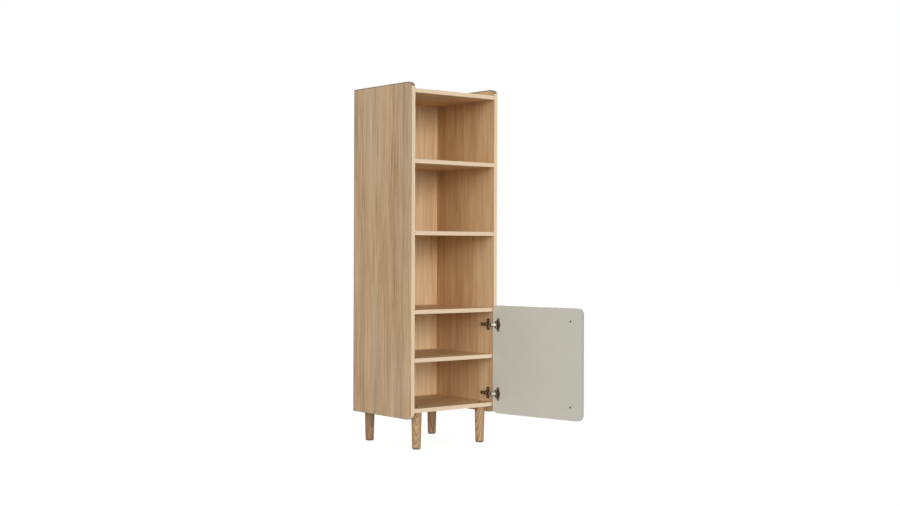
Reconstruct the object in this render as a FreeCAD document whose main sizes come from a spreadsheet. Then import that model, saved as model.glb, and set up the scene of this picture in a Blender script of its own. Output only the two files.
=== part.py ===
import FreeCAD, Part
import cmath
import math
import os
import re
import Sketcher

# Narrow bookshelf on four turned legs, with three open compartments over a cupboard.
# Millimetres. Origin on the floor, in the middle of the front left foot. Front towards -Y, +Z up.
# The door stands open, as the hinges hold it when the shelf is being filled.

Vector = FreeCAD.Vector
UP = Vector(0, 0, 1)
NO_LENGTH = 1e-7
SAME_PLACE = 1e-4

# Every size that can be set by itself, in millimetres and degrees
SIZES = {
    # carcass boards
    "carcass_width": 488,
    "carcass_depth": 435,
    "board_thickness": 18,
    "lower_cupboard_height": 200,
    "upper_cupboard_height": 192,
    "lower_shelf_height": 325,
    "middle_shelf_height": 294,
    "upper_shelf_height": 288,
    "top_recess": 29,
    "side_drop": 29,
    "side_corner_radius": 30,
    "shelf_front_recess": 1.5,
    "shelf_back_gap": 0.5,
    "shelf_end_gap": 0.1,
    # back panel and its groove
    "back_thickness": 5,
    "back_face_depth": 415,
    "groove_depth": 6,
    "groove_clearance": 0.2,
    # loose tongues that join the boards to the sides
    "tongue_thickness": 4,
    "tongue_width": 16,
    "tongue_length": 300,
    "tongue_front_depth": 60,
    "fit_clearance": 0.1,
    # legs
    "leg_length": 164,
    "leg_top_diameter": 46.5,
    "leg_foot_diameter": 38.4,
    "leg_foot_chamfer": 2,
    "leg_side_distance": 45,
    "leg_front_distance": 43,
    "leg_back_distance": 42,
    "glide_thickness": 2.5,
    "glide_diameter": 32,
    "insert_diameter": 12,
    "insert_length": 22,
    "leg_bore_depth": 30,
    "leg_bolt_diameter": 8,
    "leg_bolt_reach": 18,
    "leg_bolt_head_diameter": 16,
    "leg_bolt_head_height": 3.5,
    # door
    "door_width": 487,
    "door_height": 488,
    "door_thickness": 16,
    "door_corner_radius": 28,
    "door_side_reveal": 0.5,
    "door_gap": 1.5,
    "door_below_bottom": 30.5,
    "door_open_angle": 100.8,
    "open_corner_inset": 9,
    "open_corner_forward": 5.7,
    # pull on the door's outer face
    "pull_length": 402,
    "pull_proud": 24,
    "pull_base_width": 13,
    "pull_lip_width": 20,
    "pull_edge_round": 3,
    "pull_edge_distance": 60,
    "pull_screw_end_distance": 15,
    "pull_screw_diameter": 4,
    "pull_screw_reach": 14,
    "pull_screw_head_diameter": 8,
    "pull_screw_head_height": 2,
    # hinge pivots
    "hinge_end_distance": 88,
    "outer_pivot_edge_distance": 11.4,
    "outer_pivot_depth": 2.1,
    "inner_pivot_edge_distance": 15.1,
    "inner_pivot_depth": 5.9,
    "door_turns_per_link_turn": 3,
    "hinge_pin_diameter": 2.2,
    "running_clearance": 0.05,
    "open_eye_clearance": 0.2,
    # hinge links
    "link_half_width": 1.05,
    "link_eye_radius": 2.1,
    "outer_link_bulge": 4.5,
    "inner_link_bulge": 2.5,
    "inner_link_half_height": 3.4,
    "cheek_gap": 0.4,
    "outer_cheek_thickness": 1.4,
    # hinge arm
    "arm_wall": 1.6,
    "arm_wall_clearance": 2.3,
    "arm_crest": 14,
    "arm_boss_radius": 2.1,
    "arm_shoulder_depth": 11,
    "arm_step_depth": 24,
    "arm_rear_depth": 74,
    "arm_heel_depth": 20,
    "arm_screw_diameter": 4.6,
    "arm_screw_head_diameter": 8,
    "arm_screw_head_height": 1.8,
    "arm_clamp_depth": 57,
    "arm_adjuster_depth": 36,
    # hinge mounting plate
    "plate_thickness": 2,
    "plate_height": 52,
    "plate_wing_depth": 20,
    "plate_middle_depth": 37,
    "plate_ridge_front": 19,
    "plate_ridge_back": 64,
    "plate_corner_radius": 5,
    "plate_screw_spacing": 32,
    "plate_screw_diameter": 4,
    "plate_screw_reach": 13,
    "plate_screw_head_diameter": 7.6,
    "plate_screw_head_height": 1.6,
    # hinge cup
    "cup_diameter": 35,
    "cup_wall": 0.8,
    "cup_floor": 0.6,
    "cup_depth": 11.5,
    "cup_edge_distance": 6.5,
    "cup_rim_width": 1.1,
    "flange_thickness": 1,
    "flange_height": 60,
    "flange_width": 15,
    "flange_offset": 6.5,
    "flange_corner_radius": 4,
    "cup_screw_spacing": 48,
    "cup_screw_diameter": 3.5,
    "cup_screw_reach": 11,
    "cup_screw_head_diameter": 7,
    "cup_screw_head_height": 1.2,
}

os.makedirs("parts", exist_ok=True)
doc = FreeCAD.newDocument("bookshelf")
sheet = doc.addObject("Spreadsheet::Sheet", "Sizes")
for row, (alias, number) in enumerate(SIZES.items(), 1):
    sheet.set(f"A{row}", alias)
    sheet.set(f"B{row}", str(number))
    sheet.setAlias(f"B{row}", alias)
doc.recompute()

nodes = []


# Formulas: plain text in the words of the sheet

def formula(text):
    """Put the sheet's name before each size that the text names."""
    return re.sub(r"[a-z_]+", lambda word: f"Sizes.{word[0]}" if word[0] in SIZES else word[0], text)


def value(text):
    """Work a formula out."""
    return float(sheet.evalExpression(formula(text)))


def bind(item, place, text):
    """Drive one property of a document object from the sheet."""
    item.setExpression(place, formula(text))


# Sketches and features

def new_body(label, x, y, z):
    """A piece with its own axes, standing square in the bookshelf."""
    body = doc.addObject("PartDesign::Body", label)
    body.Label = label
    bind(body, "Placement.Base.x", x)
    bind(body, "Placement.Base.y", y)
    bind(body, "Placement.Base.z", z)
    nodes.append(body)
    return body


def new_sketch(body, role, offset="0"):
    """A sketch parallel to one of the body's own planes."""
    sketch = body.newObject("Sketcher::SketchObject", f"{body.Label}_sketch")
    plane = next(item for item in body.Origin.OriginFeatures if item.Role == role)
    sketch.AttachmentSupport = (plane, [""])
    sketch.MapMode = "FlatFace"
    bind(sketch, "AttachmentOffset.Base.z", offset)
    return sketch


def fix_point(sketch, element, point, x, y):
    """Tie a point to the sketch's origin by two distances."""
    for kind, text, axis in (("DistanceX", x, -2), ("DistanceY", y, -1)):
        number = value(text)
        if abs(number) < NO_LENGTH:
            sketch.addConstraint(Sketcher.Constraint("PointOnObject", element, point, axis))
            continue
        ends = (-1, 1, element, point) if number > 0 else (element, point, -1, 1)
        index = sketch.addConstraint(Sketcher.Constraint(kind, *ends, abs(number)))
        bind(sketch, f"Constraints[{index}]", text if number > 0 else f"-({text})")


def draw_polygon(sketch, corners):
    """A closed outline of straight lines through the corners."""
    points = [Vector(value(x), value(y), 0) for x, y in corners]
    lines = [sketch.addGeometry(Part.LineSegment(point, points[(index + 1) % len(points)]), False)
             for index, point in enumerate(points)]
    for line, following in zip(lines, lines[1:] + lines[:1]):
        sketch.addConstraint(Sketcher.Constraint("Coincident", line, 2, following, 1))
    for line, (x, y) in zip(lines, corners):
        fix_point(sketch, line, 1, x, y)


def draw_rectangle(sketch, x, y, width, height):
    """An upright rectangle from its lower left corner."""
    right, top = f"({x} + {width})", f"({y} + {height})"
    draw_polygon(sketch, [(x, y), (right, y), (right, top), (x, top)])


def draw_circles(sketch, diameter, centres):
    """Circles of one size."""
    for x, y in centres:
        centre = Vector(value(x), value(y), 0)
        element = sketch.addGeometry(Part.Circle(centre, UP, value(diameter) / 2), False)
        fix_point(sketch, element, 3, x, y)
        index = sketch.addConstraint(Sketcher.Constraint("Diameter", element, value(diameter)))
        bind(sketch, f"Constraints[{index}]", diameter)


def pad(body, sketch, length, reverse=False):
    """Grow the body from a sketch."""
    feature = body.newObject("PartDesign::Pad", f"{body.Label}_pad")
    feature.Profile = sketch
    bind(feature, "Length", length)
    feature.Reversed = reverse
    doc.recompute()


def pocket(body, sketch, depth, reverse=False):
    """Cut a sketch into the body, and see that it really took something away."""
    before = body.Shape.Volume
    feature = body.newObject("PartDesign::Pocket", f"{body.Label}_pocket")
    feature.Profile = sketch
    bind(feature, "Length", depth)
    feature.Reversed = reverse
    doc.recompute()
    if not body.Shape.Volume < before * (1 - NO_LENGTH):
        raise ValueError(f"a pocket of {body.Label} cuts nothing")


def turn_profile(body, sketch):
    """Turn a half profile about the sketch's upright axis."""
    feature = body.newObject("PartDesign::Revolution", f"{body.Label}_turning")
    feature.Profile = sketch
    feature.ReferenceAxis = (sketch, ["V_Axis"])
    feature.Angle = 360
    doc.recompute()


def round_edges(body, radius, wanted):
    """Round the edges that the test picks out."""
    base = body.Tip
    names = [f"Edge{index}" for index, edge in enumerate(base.Shape.Edges, 1) if wanted(edge)]
    if not names:
        raise ValueError(f"{body.Label} has no such edge to round")
    feature = body.newObject("PartDesign::Fillet", f"{body.Label}_rounding")
    feature.Base = (base, names)
    bind(feature, "Radius", radius)
    doc.recompute()


def near(first, second):
    return abs(first - second) < SAME_PLACE


def runs_along(edge, axis):
    """True for a straight edge along the X, Y or Z axis."""
    if len(edge.Vertexes) != 2 or not isinstance(edge.Curve, (Part.Line, Part.LineSegment)):
        return False
    step = edge.Vertexes[1].Point - edge.Vertexes[0].Point
    return near(abs(getattr(step, axis)), step.Length)


def plain_piece(label, shape, placement=None):
    """A piece whose shape is worked out by formulas that no sketch holds."""
    piece = doc.addObject("Part::Feature", label)
    piece.Label = label
    piece.Shape = shape
    if placement:
        piece.Placement = placement
    nodes.append(piece)
    return piece


def group(solid, placements):
    """Like fasteners as separate solids of one node."""
    copies = []
    for placement in placements:
        copy = solid.copy()
        copy.Placement = placement
        copies.append(copy)
    return Part.makeCompound(copies)


def rod(radius, length, start, direction):
    return Part.makeCylinder(radius, length, start, direction)


# Levels and widths that the boards share

inner_width = "(carcass_width - 2 * board_thickness)"
board_length = f"({inner_width} - 2 * shelf_end_gap)"
left_face = "(-leg_side_distance - board_thickness)"
right_inner_face = f"({left_face} + carcass_width - board_thickness)"
front_face = "(-leg_front_distance)"
side_bottom = "(leg_length - side_drop)"
bottom_level = "leg_length"
cupboard_shelf_level = f"({bottom_level} + board_thickness + lower_cupboard_height)"
cupboard_top_level = f"({cupboard_shelf_level} + board_thickness + upper_cupboard_height)"
shelf_two_level = f"({cupboard_top_level} + board_thickness + lower_shelf_height)"
shelf_one_level = f"({shelf_two_level} + board_thickness + middle_shelf_height)"
top_level = f"({shelf_one_level} + board_thickness + upper_shelf_height)"
side_height = f"({top_level} + board_thickness + top_recess - {side_bottom})"
levels = [bottom_level, cupboard_shelf_level, cupboard_top_level,
          shelf_two_level, shelf_one_level, top_level]
groove_width = "(back_thickness + 2 * groove_clearance)"
groove_start = "(back_face_depth - groove_clearance)"
tongue_slot_start = "(tongue_front_depth - fit_clearance)"
tongue_slot_length = "(tongue_length + 2 * fit_clearance)"
tongue_slot_height = "(tongue_thickness + 2 * fit_clearance)"
tongue_slot_depth = "(tongue_width / 2 + fit_clearance)"
plate_screw_bore = "(plate_screw_diameter + 2 * fit_clearance)"

# Door heights, and the two hinges on them
door_bottom = "(leg_length - door_below_bottom)"
lower_hinge_level = f"({door_bottom} + hinge_end_distance)"
upper_hinge_level = f"({door_bottom} + door_height - hinge_end_distance)"
hinge_levels = {"lower": lower_hinge_level, "upper": upper_hinge_level}


# Side panels: veneered boards, round at the two front corners, square at the back

def side_panel(label, place, inner_face, inward_cut_reversed, with_hinges):
    body = new_body(label, place, front_face, side_bottom)
    outline = new_sketch(body, "YZ_Plane")
    draw_rectangle(outline, "0", "0", "carcass_depth", side_height)
    pad(body, outline, "board_thickness")
    round_edges(body, "side_corner_radius",
                lambda edge: runs_along(edge, "x") and near(edge.CenterOfMass.y, 0))

    groove = new_sketch(body, "YZ_Plane", inner_face)
    groove_bottom = f"({bottom_level} + board_thickness - groove_depth - {side_bottom})"
    groove_top = f"({top_level} + groove_depth - {side_bottom})"
    draw_rectangle(groove, groove_start, groove_bottom, groove_width,
                   f"({groove_top} - {groove_bottom})")
    pocket(body, groove, "groove_depth", inward_cut_reversed)

    slots = new_sketch(body, "YZ_Plane", inner_face)
    for level in levels:
        slot_bottom = f"({level} + (board_thickness - {tongue_slot_height}) / 2 - {side_bottom})"
        draw_rectangle(slots, tongue_slot_start, slot_bottom, tongue_slot_length, tongue_slot_height)
    pocket(body, slots, tongue_slot_depth, inward_cut_reversed)

    if with_hinges:
        screws = new_sketch(body, "YZ_Plane", inner_face)
        places = []
        for level in hinge_levels.values():
            for sign in "-+":
                places.append(("plate_middle_depth",
                               f"({level} {sign} plate_screw_spacing / 2 - {side_bottom})"))
        draw_circles(screws, plate_screw_bore, places)
        pocket(body, screws, "(plate_screw_reach + fit_clearance)", inward_cut_reversed)


side_panel("side_panel_left", left_face, "board_thickness", False, False)
side_panel("side_panel_right", right_inner_face, "0", True, True)


# Fixed boards between the sides, each held by a glued tongue at both ends

def fixed_board(label, level, depth):
    body = new_body(label, f"({left_face} + board_thickness + shelf_end_gap)",
                    f"({front_face} + shelf_front_recess)", level)
    outline = new_sketch(body, "XY_Plane")
    draw_rectangle(outline, "0", "0", board_length, depth)
    pad(body, outline, "board_thickness")
    for end, reverse in (("0", True), (board_length, False)):
        slot = new_sketch(body, "YZ_Plane", end)
        draw_rectangle(slot, f"({tongue_slot_start} - shelf_front_recess)",
                       f"((board_thickness - {tongue_slot_height}) / 2)",
                       tongue_slot_length, tongue_slot_height)
        pocket(body, slot, f"({tongue_slot_depth} - shelf_end_gap)", reverse)
    return body


def back_groove(body, face, reverse):
    """The slot that holds an edge of the back panel."""
    groove = new_sketch(body, "XY_Plane", face)
    draw_rectangle(groove, "0", f"({groove_start} - shelf_front_recess)", board_length, groove_width)
    pocket(body, groove, "groove_depth", reverse)


full_depth = "(carcass_depth - shelf_front_recess)"
shelf_depth = "(back_face_depth - shelf_back_gap - shelf_front_recess)"
top_panel = fixed_board("top_panel", top_level, full_depth)
back_groove(top_panel, "0", True)
fixed_board("shelf_1", shelf_one_level, shelf_depth)
fixed_board("shelf_2", shelf_two_level, shelf_depth)
fixed_board("cupboard_top", cupboard_top_level, shelf_depth)
fixed_board("cupboard_shelf", cupboard_shelf_level, shelf_depth)
bottom_panel = fixed_board("bottom_panel", bottom_level, full_depth)
back_groove(bottom_panel, "board_thickness", False)

# Leg axes, and the bolt holes through the bottom panel
leg_sides = {"left": "0", "right": f"({right_inner_face} - leg_side_distance)"}
leg_depths = {"front": "0", "rear": f"({front_face} + carcass_depth - leg_back_distance)"}
leg_places = {f"leg_{depth}_{side}": (leg_sides[side], leg_depths[depth])
              for depth in leg_depths for side in leg_sides}
leg_holes = new_sketch(bottom_panel, "XY_Plane", "board_thickness")
draw_circles(leg_holes, "(leg_bolt_diameter + 2 * fit_clearance)",
             [(f"({x} - {left_face} - board_thickness - shelf_end_gap)",
               f"({y} - {front_face} - shelf_front_recess)") for x, y in leg_places.values()])
pocket(bottom_panel, leg_holes, "board_thickness")

# Back panel: thin board slid into the grooves
back_reach = "(groove_depth - groove_clearance)"
back_panel = new_body("back_panel", f"({left_face} + board_thickness - {back_reach})",
                      f"({front_face} + back_face_depth)",
                      f"({bottom_level} + board_thickness - {back_reach})")
back_outline = new_sketch(back_panel, "XZ_Plane")
draw_rectangle(back_outline, "0", "0", f"({inner_width} + 2 * {back_reach})",
               f"({top_level} - {bottom_level} - board_thickness + 2 * {back_reach})")
pad(back_panel, back_outline, "back_thickness", True)

# Legs: turned from solid wood, tapered to the foot, bored from above for the threaded insert
for label, (x, y) in leg_places.items():
    leg = new_body(label, x, y, "0")
    profile = new_sketch(leg, "XZ_Plane")
    bore_radius = "(insert_diameter / 2 + fit_clearance)"
    bore_floor = "(leg_length - leg_bore_depth)"
    draw_polygon(profile, [(bore_radius, "leg_length"), ("(leg_top_diameter / 2)", "leg_length"),
                           ("(leg_foot_diameter / 2)", "(glide_thickness + leg_foot_chamfer)"),
                           ("(leg_foot_diameter / 2 - leg_foot_chamfer)", "glide_thickness"),
                           ("0", "glide_thickness"), ("0", bore_floor), (bore_radius, bore_floor)])
    turn_profile(leg, profile)

leg_axes = [Vector(value(x), value(y), 0) for x, y in leg_places.values()]
leg_top = value("leg_length")


def on_legs(solid):
    return group(solid, [FreeCAD.Placement(axis, FreeCAD.Rotation()) for axis in leg_axes])


glide = rod(value("glide_diameter / 2"), value("glide_thickness"), Vector(), UP)
plain_piece("leg_glides", on_legs(glide))
insert_base = Vector(0, 0, leg_top - value("insert_length"))
insert = rod(value("insert_diameter / 2"), value("insert_length"), insert_base, UP)
insert = insert.cut(rod(value("leg_bolt_diameter / 2 + fit_clearance"), value("insert_length"),
                        insert_base, UP))
plain_piece("leg_inserts", on_legs(insert))
bolt_tip = Vector(0, 0, leg_top - value("leg_bolt_reach"))
leg_bolt = rod(value("leg_bolt_diameter / 2"), value("leg_bolt_reach + board_thickness"), bolt_tip, UP)
head_base = Vector(0, 0, value("leg_length + board_thickness"))
head = rod(value("leg_bolt_head_diameter / 2"), value("leg_bolt_head_height"), head_base, UP)
plain_piece("leg_bolts", on_legs(leg_bolt.fuse(head)))

# Tongues: flat strips of plywood, half in a side panel and half in a board end
tongue = Part.makeBox(value("tongue_width"), value("tongue_length"), value("tongue_thickness"),
                      Vector(-value("tongue_width / 2"), value(f"{front_face} + tongue_front_depth"),
                             value("(board_thickness - tongue_thickness) / 2")))
tongue_places = [FreeCAD.Placement(Vector(value(face), 0, value(level)), FreeCAD.Rotation())
                 for level in levels for face in (f"{left_face} + board_thickness", right_inner_face)]
plain_piece("board_tongues", group(tongue, tongue_places))

# Door: the hinge plane is the inner face of the right side panel.
# Places near the hinges are complex numbers: real part outwards from that plane,
# imaginary part backwards from the carcass front.
hinge_origin = Vector(value(right_inner_face), value(front_face), 0)
open_turn = math.radians(value("door_open_angle"))
door_corner = complex(value("board_thickness - door_side_reveal"), -value("door_gap"))
open_corner = complex(-value("open_corner_inset"), -value("open_corner_forward"))


def opened(point):
    """Carry a point of the closed door to where it is on the open door."""
    return open_corner + cmath.exp(1j * open_turn) * (point - door_corner)


def on_door(from_hinge_edge, depth_below_face):
    """A point of the closed door, by its distance from the hinge edge and its depth."""
    return door_corner - from_hinge_edge - 1j * depth_below_face


def to_vector(point, height=0.0):
    return hinge_origin + Vector(point.real, point.imag, height)


# Door pieces are drawn closed, from the free edge and the outer face, then swung open
door_zero = opened(door_corner - value("door_width") - 1j * value("door_thickness"))
door_turn_text = "door_open_angle"
door_zero_x = (f"({right_inner_face} - open_corner_inset"
               " - door_width * cos(door_open_angle * 1 deg)"
               " + door_thickness * sin(door_open_angle * 1 deg))")
door_zero_y = (f"({front_face} - open_corner_forward - door_width * sin(door_open_angle * 1 deg)"
               " - door_thickness * cos(door_open_angle * 1 deg))")


def door_body(label, height):
    """A piece of the door, in the door's own axes."""
    body = new_body(label, door_zero_x, door_zero_y, height)
    body.Placement.Rotation = FreeCAD.Rotation(UP, value(door_turn_text))
    bind(body, "Placement.Rotation.Angle", door_turn_text)
    return body


def door_placement(height):
    return FreeCAD.Placement(to_vector(door_zero, height), FreeCAD.Rotation(UP, value(door_turn_text)))


cup_middle = "(cup_edge_distance + cup_diameter / 2)"
cup_place_x = f"(door_width - {cup_middle})"
flange_place_x = f"({cup_place_x} - flange_offset)"
screw_rows = {name: [f"({level} - {door_bottom} {sign} cup_screw_spacing / 2)" for sign in "-+"]
              for name, level in hinge_levels.items()}
pull_screw_span = "(pull_length / 2 - pull_screw_end_distance)"
pull_screw_rows = [f"(door_height / 2 {sign} {pull_screw_span})" for sign in "-+"]

door = door_body("door_panel", door_bottom)
door_outline = new_sketch(door, "XZ_Plane")
draw_rectangle(door_outline, "0", "0", "door_width", "door_height")
pad(door, door_outline, "door_thickness", True)
round_edges(door, "door_corner_radius", lambda edge: runs_along(edge, "y"))
inner_face = "(-door_thickness)"
cup_bores = new_sketch(door, "XZ_Plane", inner_face)
draw_circles(cup_bores, "(cup_diameter + 2 * fit_clearance)",
             [(cup_place_x, f"({level} - {door_bottom})") for level in hinge_levels.values()])
pocket(door, cup_bores, "(cup_depth + fit_clearance)", True)
cup_screw_bores = new_sketch(door, "XZ_Plane", inner_face)
draw_circles(cup_screw_bores, "(cup_screw_diameter + 2 * fit_clearance)",
             [(flange_place_x, row) for rows in screw_rows.values() for row in rows])
pocket(door, cup_screw_bores, "(cup_screw_reach + fit_clearance)", True)
pull_bores = new_sketch(door, "XZ_Plane", inner_face)
draw_circles(pull_bores, "(pull_screw_diameter + 2 * fit_clearance)",
             [("pull_edge_distance", row) for row in pull_screw_rows])
pocket(door, pull_bores, "door_thickness", True)

# Pull: solid wood strip, undercut on both sides for the fingers, on the outer face
pull = door_body("door_pull", f"({door_bottom} + (door_height - pull_length) / 2)")
pull_profile = new_sketch(pull, "XY_Plane")
draw_polygon(pull_profile, [("(pull_edge_distance - pull_base_width / 2)", "0"),
                            ("(pull_edge_distance + pull_base_width / 2)", "0"),
                            ("(pull_edge_distance + pull_lip_width / 2)", "(-pull_proud)"),
                            ("(pull_edge_distance - pull_lip_width / 2)", "(-pull_proud)")])
pad(pull, pull_profile, "pull_length")
pull_front = value("pull_proud")
round_edges(pull, "pull_edge_round", lambda edge: near(edge.CenterOfMass.y, -pull_front))
pull_holes = new_sketch(pull, "XZ_Plane")
draw_circles(pull_holes, "(pull_screw_diameter + 2 * fit_clearance)",
             [("pull_edge_distance", f"(pull_length / 2 {sign} {pull_screw_span})") for sign in "-+"])
pocket(pull, pull_holes, "(pull_screw_reach + fit_clearance)", True)


def headed_screw(shank, shank_length, head_size, head_height):
    """Screw along Y: the head's seat at zero, the head behind it, the point in front."""
    screw = rod(shank / 2, shank_length, Vector(), Vector(0, -1, 0))
    return screw.fuse(rod(head_size / 2, head_height, Vector(), Vector(0, 1, 0)))


pull_screw = headed_screw(value("pull_screw_diameter"), value("door_thickness + pull_screw_reach"),
                          value("pull_screw_head_diameter"), value("pull_screw_head_height"))
plain_piece("pull_screws", group(pull_screw, [
    door_placement(value(door_bottom)).multiply(FreeCAD.Placement(
        Vector(value("pull_edge_distance"), value("door_thickness"), value(row)), FreeCAD.Rotation()))
    for row in pull_screw_rows]))

# Hinge pivots. The door turns by the open angle while each link turns back by a share of it,
# so a frame pivot is the one point about which the link's turn carries the door pivot.
link_turn = -open_turn / value("door_turns_per_link_turn")


def frame_pivot(door_pivot):
    turned = cmath.exp(1j * link_turn)
    return (opened(door_pivot) - turned * door_pivot) / (1 - turned)


outer_closed = on_door(value("outer_pivot_edge_distance"), value("outer_pivot_depth"))
inner_closed = on_door(value("inner_pivot_edge_distance"), value("inner_pivot_depth"))
outer_frame = frame_pivot(outer_closed)
inner_frame = frame_pivot(inner_closed)
outer_door = opened(outer_closed)
inner_door = opened(inner_closed)

pin_radius = value("hinge_pin_diameter / 2")
pin_bore = pin_radius + value("running_clearance")
outer_cheek_low = value("inner_link_half_height + cheek_gap")
outer_cheek_high = outer_cheek_low + value("outer_cheek_thickness")
arm_inner_half = outer_cheek_high + value("cheek_gap")
arm_half = arm_inner_half + value("arm_wall")


def prism(wire, low, high):
    """A flat outline in the plane of the hinge, given a height."""
    face = Part.Face(wire) if isinstance(wire, Part.Wire) else wire
    solid = face.extrude(Vector(0, 0, high - low))
    solid.translate(Vector(0, 0, low))
    return solid


def disc(centre, radius, low, high):
    return rod(radius, high - low, to_vector(centre, low), UP)


def outline(points):
    vectors = [to_vector(point) for point in points]
    return Part.makePolygon(vectors + vectors[:1])


# The links are cranked strips: how far along each bend lies, and how much of the bulge it has
LINK_BEND_SHARES = [(0.30, 0.62), (0.60, 1.04), (0.84, 0.78)]
MITRED = 2


def link_blade(start, end, bulge, low, high):
    """A cranked strip with a round eye at each end."""
    along = end - start
    side = -1j * along / abs(along)
    bends = [start + along * share + side * bulge * bulge_share for share, bulge_share in LINK_BEND_SHARES]
    spine = Part.makePolygon([to_vector(point) for point in [start, *bends, end]])
    strip = spine.makeOffset2D(value("link_half_width"), MITRED, False, False, False)
    blade = prism(strip, low, high)
    for eye in (start, end):
        blade = blade.fuse(disc(eye, value("link_eye_radius"), low, high))
    return blade


def bored(solid, centres, low, high):
    for centre in centres:
        solid = solid.cut(disc(centre, pin_bore, low, high))
    return solid.removeSplitter()


# Shares of the closing swing, from a little past open to nearly closed, that shape the open eye
OPEN_EYE_SHARES = [-0.035, 0.05, 0.1, 0.2, 0.3, 0.4, 0.5, 0.6, 0.7, 0.8, 0.9, 0.97]


def wandering_pin(share, pin):
    """Where a cup pin is, seen from the inner link, at a share of the closing swing."""
    door_turn = cmath.exp(-1j * share * open_turn)
    turn = cmath.exp(-1j * share * link_turn)
    carried = outer_frame + turn * (outer_door - outer_frame) + door_turn * (pin - outer_door)
    return inner_frame + (carried - inner_frame) / turn


def outer_link():
    """The outer link is a pair of cheeks, one on each side of the inner link."""
    cheeks = []
    for low, high in ((outer_cheek_low, outer_cheek_high), (-outer_cheek_high, -outer_cheek_low)):
        cheek = link_blade(outer_frame, outer_door, value("outer_link_bulge"), low, high)
        cheeks.append(bored(cheek, (outer_frame, outer_door), low, high))
    return Part.makeCompound(cheeks)


def inner_link():
    """The inner link has an open eye at its cup pin, which seats it at both ends of the swing."""
    half = value("inner_link_half_height")
    link = link_blade(inner_frame, inner_door, value("inner_link_bulge"), -half, half)
    for share in OPEN_EYE_SHARES:
        for pin in (outer_door, inner_door):
            room = pin_bore + value("open_eye_clearance")
            link = link.cut(disc(wandering_pin(share, pin), room, -half, half))
    link = max(link.Solids, key=lambda solid: solid.Volume)
    return bored(link, (inner_frame, inner_door), -half, half)


def hinge_arm():
    """Pressed channel: two cheeks and a crest, open towards the side panel and at the nose."""
    crest = -value("arm_crest")
    foot = -value("arm_wall_clearance")
    wall = value("arm_wall")
    boss = value("arm_boss_radius")
    knuckle = outer_frame.real - value("link_eye_radius + cheek_gap + arm_wall")
    shoulder = value("arm_shoulder_depth")
    step = value("arm_step_depth")
    rear = value("arm_rear_depth")
    heel = value("arm_heel_depth")
    neck = inner_frame.real - boss
    outer = outline([complex(neck, inner_frame.imag), complex(neck, 0), complex(knuckle, boss),
                     complex(knuckle, shoulder), complex(crest, step), complex(crest, rear),
                     complex(foot, rear), complex(foot, heel),
                     complex(inner_frame.real + 2 * boss, boss),
                     complex(inner_frame.real + boss, inner_frame.imag)])
    body = prism(outer, -arm_half, arm_half)
    body = body.fuse(disc(inner_frame, boss, -arm_half, arm_half)).removeSplitter()
    inner = outline([complex(neck - boss, inner_frame.imag - 2 * boss), complex(neck - boss, boss - wall),
                     complex(knuckle + wall, boss), complex(knuckle + wall, shoulder - wall / 2),
                     complex(crest + wall, step - wall / 2), complex(crest + wall, rear + wall),
                     complex(0, rear + wall), complex(0, inner_frame.imag - 2 * boss)])
    body = body.cut(prism(inner, -arm_inner_half, arm_inner_half))
    body = bored(body, (outer_frame, inner_frame), -arm_half, arm_half)
    for depth in (value("arm_clamp_depth"), value("arm_adjuster_depth")):
        hole = rod(value("arm_screw_diameter / 2 + fit_clearance"), 2 * wall,
                   to_vector(complex(crest - wall / 2, depth)), Vector(1, 0, 0))
        body = body.cut(hole)
    return body


def arm_screw():
    """Screw through the arm's crest into the ridge of the plate."""
    seat = -value("arm_crest")
    reach = value("arm_crest - plate_thickness - fit_clearance")
    screw = rod(value("arm_screw_diameter / 2"), reach, to_vector(complex(seat, 0)), Vector(1, 0, 0))
    screw_head = rod(value("arm_screw_head_diameter / 2"), value("arm_screw_head_height"),
                     to_vector(complex(seat, 0)), Vector(-1, 0, 0))
    return screw.fuse(screw_head)


def along_z(centre, half_length):
    return disc(centre, pin_radius, -half_length, half_length)


def cup_pin_half_length(point):
    """A cup pin ends inside the cup's wall, which is round."""
    offset = abs(door_corner.real - point.real - value(cup_middle)) + pin_radius
    radius = value("cup_diameter / 2 - fit_clearance")
    return math.sqrt(radius ** 2 - offset ** 2)


outer_pin_half = cup_pin_half_length(outer_closed)
inner_pin_half = cup_pin_half_length(inner_closed)


arm_inner_text = "(inner_link_half_height + 2 * cheek_gap + outer_cheek_thickness)"


def mounting_plate(name, level):
    """Pressed cross plate with a raised ridge that carries the arm."""
    body = new_body(f"{name}_hinge_plate", right_inner_face, front_face, level)
    base = new_sketch(body, "YZ_Plane")
    draw_rectangle(base, "(plate_middle_depth - plate_wing_depth / 2)", "(-plate_height / 2)",
                   "plate_wing_depth", "plate_height")
    pad(body, base, "plate_thickness", True)
    round_edges(body, "plate_corner_radius", lambda edge: runs_along(edge, "x"))
    ridge_half = f"({arm_inner_text} - cheek_gap / 2)"
    ridge = new_sketch(body, "YZ_Plane")
    draw_rectangle(ridge, "plate_ridge_front", f"(-{ridge_half})",
                   "(plate_ridge_back - plate_ridge_front)", f"(2 * {ridge_half})")
    pad(body, ridge, "(arm_crest - arm_wall - fit_clearance)", True)
    screws = new_sketch(body, "YZ_Plane")
    draw_circles(screws, plate_screw_bore, [("plate_middle_depth", f"({sign}plate_screw_spacing / 2)")
                                            for sign in ("-", "")])
    pocket(body, screws, "plate_thickness")
    arm_screws = new_sketch(body, "YZ_Plane")
    draw_circles(arm_screws, "(arm_screw_diameter + 2 * fit_clearance)",
                 [("arm_clamp_depth", "0"), ("arm_adjuster_depth", "0")])
    pocket(body, arm_screws, "arm_crest")


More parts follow.
